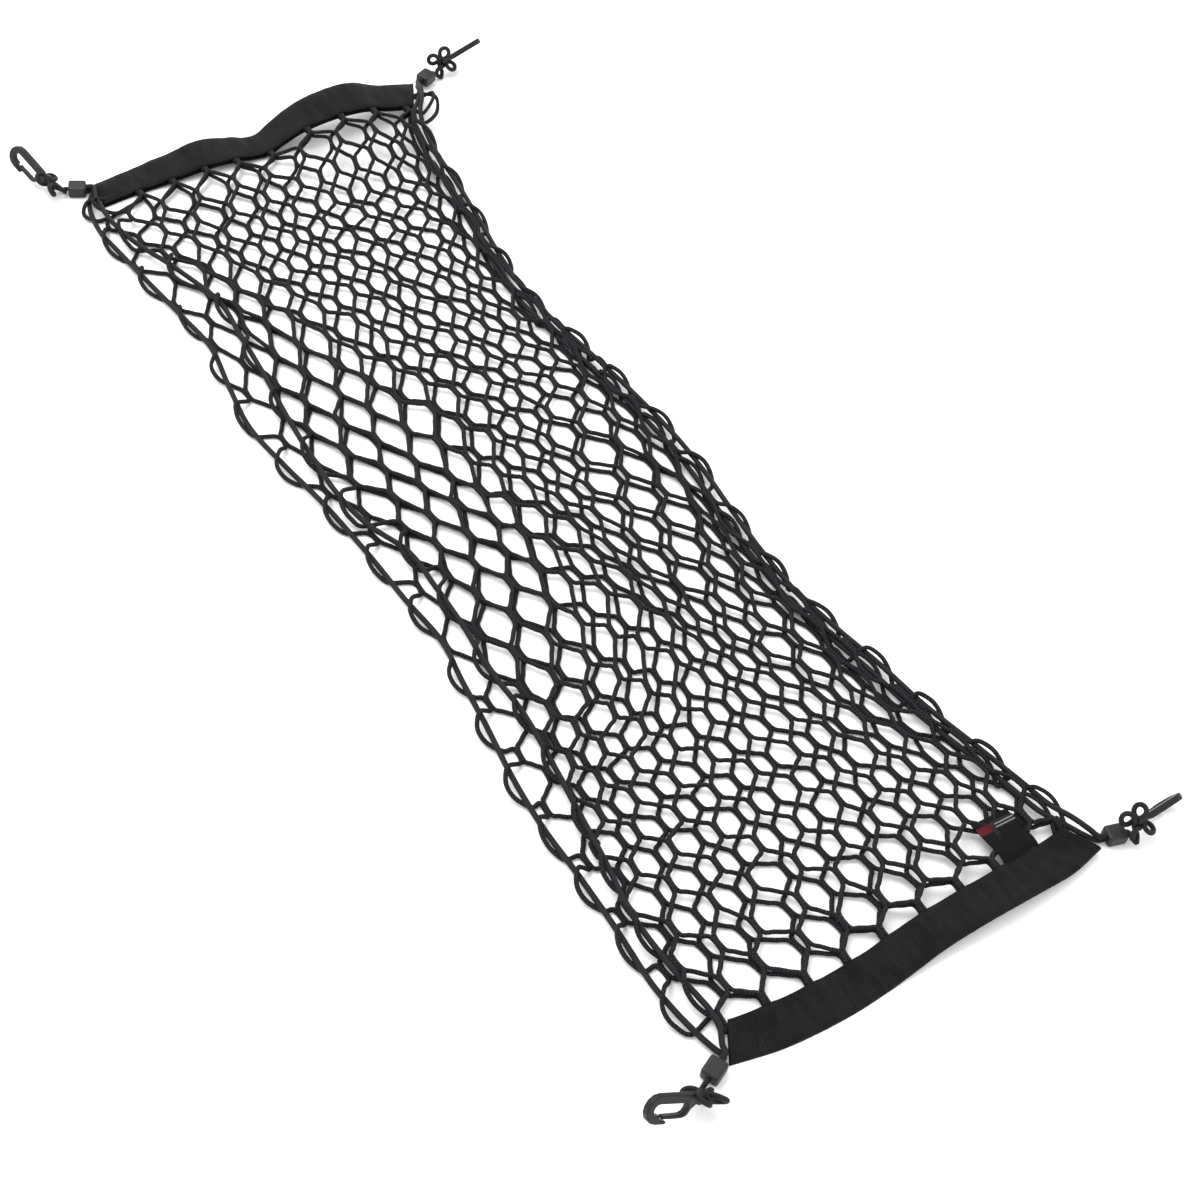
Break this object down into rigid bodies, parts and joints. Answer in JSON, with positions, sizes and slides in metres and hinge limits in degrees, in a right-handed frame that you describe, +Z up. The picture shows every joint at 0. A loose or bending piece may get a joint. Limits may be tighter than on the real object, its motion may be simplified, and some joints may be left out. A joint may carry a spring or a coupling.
{
  "type": "cargo net",
  "caption": "Flat envelope cargo net of black knotless netting in two layers, with webbing bound ends, elastic edge cords and a snap hook on a knotted cord at each corner.",
  "frame": {"origin": "middle of the whole net as laid, on the surface it lies on", "axes": "+Y along the net's length to the end whose binding stands in two arches, +X to the right across it, +Z up"},
  "size_m": [0.4353, 0.9324, 0.0327],
  "materials": {
    "twine": "matt twisted twine",
    "webbing": "ribbed woven webbing",
    "elastic": "fine braided cord",
    "plastic": "satin moulding",
    "bead": "satin moulding",
    "woven": "woven tab"
  },
  "bodies": {
    "root": {"net_lower": "twine", "net_upper": "twine", "binding_near": "webbing", "binding_far": "webbing", "cord_left_outer": "elastic", "cord_left_inner": "elastic", "cord_right_lower": "elastic", "cord_right_upper": "elastic", "crimp_near_left": "bead", "knot_near_left": "elastic", "hook_near_left": "plastic", "crimp_far_left": "bead", "knot_far_left": "elastic", "hook_far_left": "plastic", "crimp_far_right": "bead", "knot_far_right": "elastic", "hook_far_right": "plastic", "crimp_near_right": "bead", "knot_near_right": "elastic", "hook_near_right": "plastic", "label_tab": "woven"}
  },
  "joints": []
}
